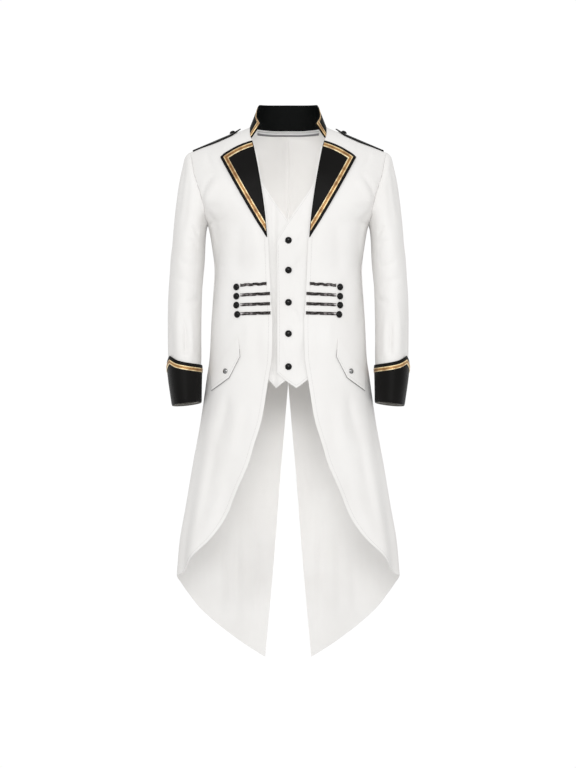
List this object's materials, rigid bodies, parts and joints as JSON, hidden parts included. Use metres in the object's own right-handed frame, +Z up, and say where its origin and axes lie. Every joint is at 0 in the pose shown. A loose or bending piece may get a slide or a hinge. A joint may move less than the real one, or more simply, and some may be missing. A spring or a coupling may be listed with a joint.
{
  "type": "tailcoat",
  "caption": "White tailcoat with black collar, lapels and turned-back cuffs edged in gold braid, a sewn-in waistcoat front, button bands, slanted pocket flaps and long tails, filled out.",
  "frame": {"origin": "between the shoulders at the base of the neck, where the wearer holds the coat up", "axes": "+Z up, -Y out of the coat's front, +X towards the wearer's left"},
  "size_m": [0.5734, 0.3041, 1.3261],
  "materials": {
    "cloth": "white suiting with a faint weave, soft sheen",
    "facing": "black satin, smooth and slightly glossy",
    "gold_braid": "woven gold braid with lighter raised edges",
    "dark_band": "black and silver braid with a metallic glint",
    "dark_button": "black domed button, polished",
    "metal_button": "small domed metal button",
    "tape": "grey woven neck tape"
  },
  "bodies": {
    "root": {"front_left": "cloth", "back_left": "cloth", "upper_sleeve_left": "cloth", "under_sleeve_left": "cloth", "cuff_left": "facing", "cuff_braid_left": "gold_braid", "lapel_left": "facing", "lapel_braid_left": "gold_braid", "waistcoat_left": "cloth", "pocket_flap_left": "cloth", "flap_button_left": "metal_button", "shoulder_strap_left": "facing", "strap_button_left": "dark_button", "band_left_1": "dark_band", "band_button_left_1": "dark_button", "band_left_2": "dark_band", "band_button_left_2": "dark_button", "band_left_3": "dark_band", "band_button_left_3": "dark_button", "band_left_4": "dark_band", "band_button_left_4": "dark_button", "front_right": "cloth", "back_right": "cloth", "upper_sleeve_right": "cloth", "under_sleeve_right": "cloth", "cuff_right": "facing", "cuff_braid_right": "gold_braid", "lapel_right": "facing", "lapel_braid_right": "gold_braid", "waistcoat_right": "cloth", "pocket_flap_right": "cloth", "flap_button_right": "metal_button", "shoulder_strap_right": "facing", "strap_button_right": "dark_button", "band_right_1": "dark_band", "band_button_right_1": "dark_button", "band_right_2": "dark_band", "band_button_right_2": "dark_button", "band_right_3": "dark_band", "band_button_right_3": "dark_button", "band_right_4": "dark_band", "band_button_right_4": "dark_button", "waistcoat_button_1": "dark_button", "waistcoat_button_2": "dark_button", "waistcoat_button_3": "dark_button", "waistcoat_button_4": "dark_button", "waistcoat_button_5": "dark_button", "collar": "facing", "collar_braid": "gold_braid", "neck_tape": "tape"}
  },
  "joints": []
}
